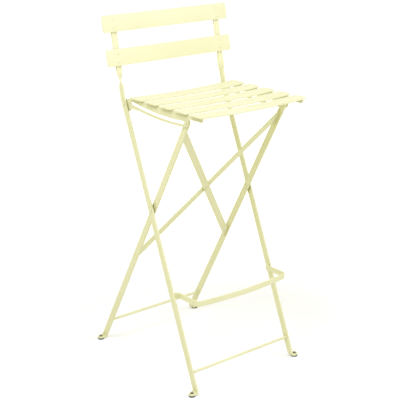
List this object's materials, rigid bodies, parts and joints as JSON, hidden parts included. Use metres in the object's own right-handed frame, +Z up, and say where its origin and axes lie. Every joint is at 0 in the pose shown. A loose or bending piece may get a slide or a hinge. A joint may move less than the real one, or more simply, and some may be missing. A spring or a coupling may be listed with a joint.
{
  "type": "bar-height folding bistro chair",
  "caption": "Bar-height folding bistro chair: scissor frame of painted flat steel bar, slatted seat and back, bowed footrest, crossed rear brace and small round feet.",
  "frame": {"origin": "on the floor, midway between the chair's sides and midway between the seat's front edge and the rear feet", "axes": "+Z up, -Y the way the sitter faces, +X to the right of someone who looks at the chair's front"},
  "size_m": [0.4198, 0.4772, 0.9613],
  "materials": {
    "frame_paint": "pale lemon powder coat, satin",
    "glide_plastic": "black, matt"
  },
  "bodies": {
    "front_frame": {"left_long_bar": "frame_paint", "right_long_bar": "frame_paint", "lower_back_slat": "frame_paint", "top_back_slat": "frame_paint", "lower_back_slat_left_lower_rivet": "frame_paint", "lower_back_slat_left_upper_rivet": "frame_paint", "lower_back_slat_right_lower_rivet": "frame_paint", "lower_back_slat_right_upper_rivet": "frame_paint", "top_back_slat_left_lower_rivet": "frame_paint", "top_back_slat_left_upper_rivet": "frame_paint", "top_back_slat_right_lower_rivet": "frame_paint", "top_back_slat_right_upper_rivet": "frame_paint", "front_stretcher": "frame_paint", "footrest": "frame_paint", "front_left_glide": "glide_plastic", "front_right_glide": "glide_plastic", "left_leg_rivet": "frame_paint", "right_leg_rivet": "frame_paint", "left_leg_spacer": "frame_paint", "right_leg_spacer": "frame_paint", "left_seat_rivet": "frame_paint", "right_seat_rivet": "frame_paint"},
    "rear_frame": {"left_short_bar": "frame_paint", "right_short_bar": "frame_paint", "front_brace": "frame_paint", "rear_brace": "frame_paint", "brace_rivet": "frame_paint", "rear_stretcher": "frame_paint", "rear_left_glide": "glide_plastic", "rear_right_glide": "glide_plastic", "left_slot_pin": "frame_paint", "right_slot_pin": "frame_paint"},
    "seat": {"left_seat_rail": "frame_paint", "right_seat_rail": "frame_paint", "seat_slat_1": "frame_paint", "seat_slat_2": "frame_paint", "seat_slat_3": "frame_paint", "seat_slat_4": "frame_paint", "seat_slat_5": "frame_paint"}
  },
  "joints": [
    {"name": "leg_fold", "type": "hinge", "parent": "front_frame", "child": "rear_frame", "pos_m": [0, -0.02366, 0.46519], "axis": [-1, 0, 0], "range_deg": [0, 46]},
    {"name": "seat_fold", "type": "hinge", "parent": "front_frame", "child": "seat", "pos_m": [0, 0.08651, 0.7338], "axis": [-1, 0, 0], "range_deg": [0, 29.9]}
  ],
  "couplings": [
    {"joint": "seat_fold", "follows": "leg_fold", "ratio": 0.65}
  ]
}
